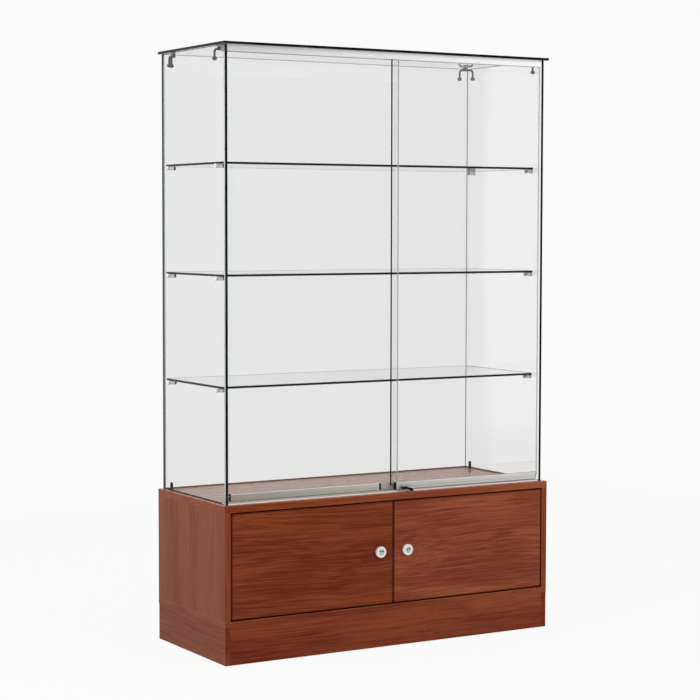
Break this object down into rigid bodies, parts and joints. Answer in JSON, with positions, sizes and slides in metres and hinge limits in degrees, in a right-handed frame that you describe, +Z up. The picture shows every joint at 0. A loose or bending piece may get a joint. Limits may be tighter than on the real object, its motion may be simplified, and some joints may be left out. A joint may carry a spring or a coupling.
{
  "type": "display cabinet",
  "caption": "Floor-standing display cabinet: glass case with shelves and lockable sliding glass doors on a low wooden cupboard with hinged doors.",
  "frame": {"origin": "floor level, under the middle of the whole cabinet", "axes": "+X to the right along the front, +Y from the front to the back, +Z up"},
  "size_m": [1.2, 0.481, 1.885],
  "materials": {
    "cherry_laminate": "satin",
    "cherry_edging": "satin",
    "backing_board": "matte",
    "clear_glass": "polished",
    "anodised_aluminium": "satin",
    "nickel_hardware": "polished",
    "plain_steel": "satin",
    "black_plastic": "matte",
    "white_nylon": "matte",
    "black_rubber": "matte"
  },
  "bodies": {
    "cabinet": {"plinth_front": "cherry_laminate", "plinth_back": "cherry_laminate", "plinth_left": "cherry_laminate", "plinth_right": "cherry_laminate", "plinth_rail": "backing_board", "bottom_panel": "cherry_laminate", "deck_panel": "cherry_laminate", "side_panel_left": "cherry_laminate", "side_panel_right": "cherry_laminate", "partition": "cherry_edging", "back_panel": "backing_board", "pivot_bushes": "black_plastic", "glass_side_left": "clear_glass", "glass_side_right": "clear_glass", "glass_back": "clear_glass", "glass_top": "clear_glass", "glass_shelf_lower": "clear_glass", "glass_shelf_middle": "clear_glass", "glass_shelf_upper": "clear_glass", "shelf_pins_lower": "nickel_hardware", "shelf_pins_middle": "nickel_hardware", "shelf_pins_upper": "nickel_hardware", "corner_connectors": "nickel_hardware", "deck_pegs": "black_plastic", "bottom_track": "anodised_aluminium", "top_channel": "anodised_aluminium"},
    "left_sliding_door": {"left_door_glass": "clear_glass", "left_door_gasket": "black_rubber", "left_door_shoe": "anodised_aluminium", "left_door_end_caps": "black_plastic", "left_door_axles": "plain_steel", "showcase_strike": "plain_steel", "strike_stop": "black_rubber"},
    "left_wheel_a": {"left_roller_a": "white_nylon"},
    "left_wheel_b": {"left_roller_b": "white_nylon"},
    "right_sliding_door": {"right_door_glass": "clear_glass", "right_door_gasket": "black_rubber", "right_door_shoe": "anodised_aluminium", "right_door_end_caps": "black_plastic", "right_door_axles": "plain_steel", "showcase_lock_barrel": "nickel_hardware"},
    "right_wheel_a": {"right_roller_a": "white_nylon"},
    "right_wheel_b": {"right_roller_b": "white_nylon"},
    "lock_core": {"showcase_lock_plug": "nickel_hardware", "case_key_blade": "nickel_hardware", "case_key_bow": "black_plastic"},
    "key_bunch": {"key_ring": "nickel_hardware", "spare_key_bow": "black_plastic", "spare_key_blade": "nickel_hardware"},
    "left_cupboard_door": {"cupboard_door_left": "cherry_laminate", "pivot_pins_left": "plain_steel", "lock_rosette_left": "nickel_hardware"},
    "left_cupboard_lock": {"lock_plug_left": "nickel_hardware"},
    "right_cupboard_door": {"cupboard_door_right": "cherry_laminate", "pivot_pins_right": "plain_steel", "lock_rosette_right": "nickel_hardware"},
    "right_cupboard_lock": {"lock_plug_right": "nickel_hardware"}
  },
  "joints": [
    {"name": "left_door_slide", "type": "slide", "parent": "cabinet", "child": "left_sliding_door", "axis": [1, 0, 0], "range_m": [0, 0.525]},
    {"name": "right_door_slide", "type": "slide", "parent": "cabinet", "child": "right_sliding_door", "axis": [1, 0, 0], "range_m": [-0.525, 0]},
    {"name": "left_wheel_a_roll", "type": "hinge", "parent": "left_sliding_door", "child": "left_wheel_a", "pos_m": [-0.502, -0.18575, 0.4986], "axis": [0, 1, 0], "range_deg": [-4, 6021]},
    {"name": "left_wheel_b_roll", "type": "hinge", "parent": "left_sliding_door", "child": "left_wheel_b", "pos_m": [-0.032, -0.18575, 0.4986], "axis": [0, 1, 0], "range_deg": [-4, 6021]},
    {"name": "right_wheel_a_roll", "type": "hinge", "parent": "right_sliding_door", "child": "right_wheel_a", "pos_m": [0.082, -0.20175, 0.4986], "axis": [0, 1, 0], "range_deg": [-6021, 4]},
    {"name": "right_wheel_b_roll", "type": "hinge", "parent": "right_sliding_door", "child": "right_wheel_b", "pos_m": [0.512, -0.20175, 0.4986], "axis": [0, 1, 0], "range_deg": [-6021, 4]},
    {"name": "showcase_lock_turn", "type": "hinge", "parent": "right_sliding_door", "child": "lock_core", "pos_m": [0.041, -0.20175, 0.5024], "axis": [0, -1, 0], "range_deg": [0, 90]},
    {"name": "key_ring_swing", "type": "hinge", "parent": "lock_core", "child": "key_bunch", "pos_m": [0.0472, -0.224, 0.5024], "axis": [0, -1, 0], "range_deg": [0, 12]},
    {"name": "left_cupboard_hinge", "type": "hinge", "parent": "cabinet", "child": "left_cupboard_door", "pos_m": [-0.5635, -0.2225, 0.3005], "axis": [0, 0, -1], "range_deg": [0, 105]},
    {"name": "right_cupboard_hinge", "type": "hinge", "parent": "cabinet", "child": "right_cupboard_door", "pos_m": [0.5635, -0.2225, 0.3005], "axis": [0, 0, 1], "range_deg": [0, 105]},
    {"name": "left_cupboard_lock_turn", "type": "hinge", "parent": "left_cupboard_door", "child": "left_cupboard_lock", "pos_m": [-0.05, -0.2295, 0.305], "axis": [0, -1, 0], "range_deg": [0, 90]},
    {"name": "right_cupboard_lock_turn", "type": "hinge", "parent": "right_cupboard_door", "child": "right_cupboard_lock", "pos_m": [0.05, -0.2295, 0.305], "axis": [0, 1, 0], "range_deg": [0, 90]}
  ],
  "couplings": [
    {"joint": "left_wheel_a_roll", "follows": "left_door_slide", "rad_per_m": 200},
    {"joint": "left_wheel_b_roll", "follows": "left_door_slide", "rad_per_m": 200},
    {"joint": "right_wheel_a_roll", "follows": "right_door_slide", "rad_per_m": 200},
    {"joint": "right_wheel_b_roll", "follows": "right_door_slide", "rad_per_m": 200}
  ]
}
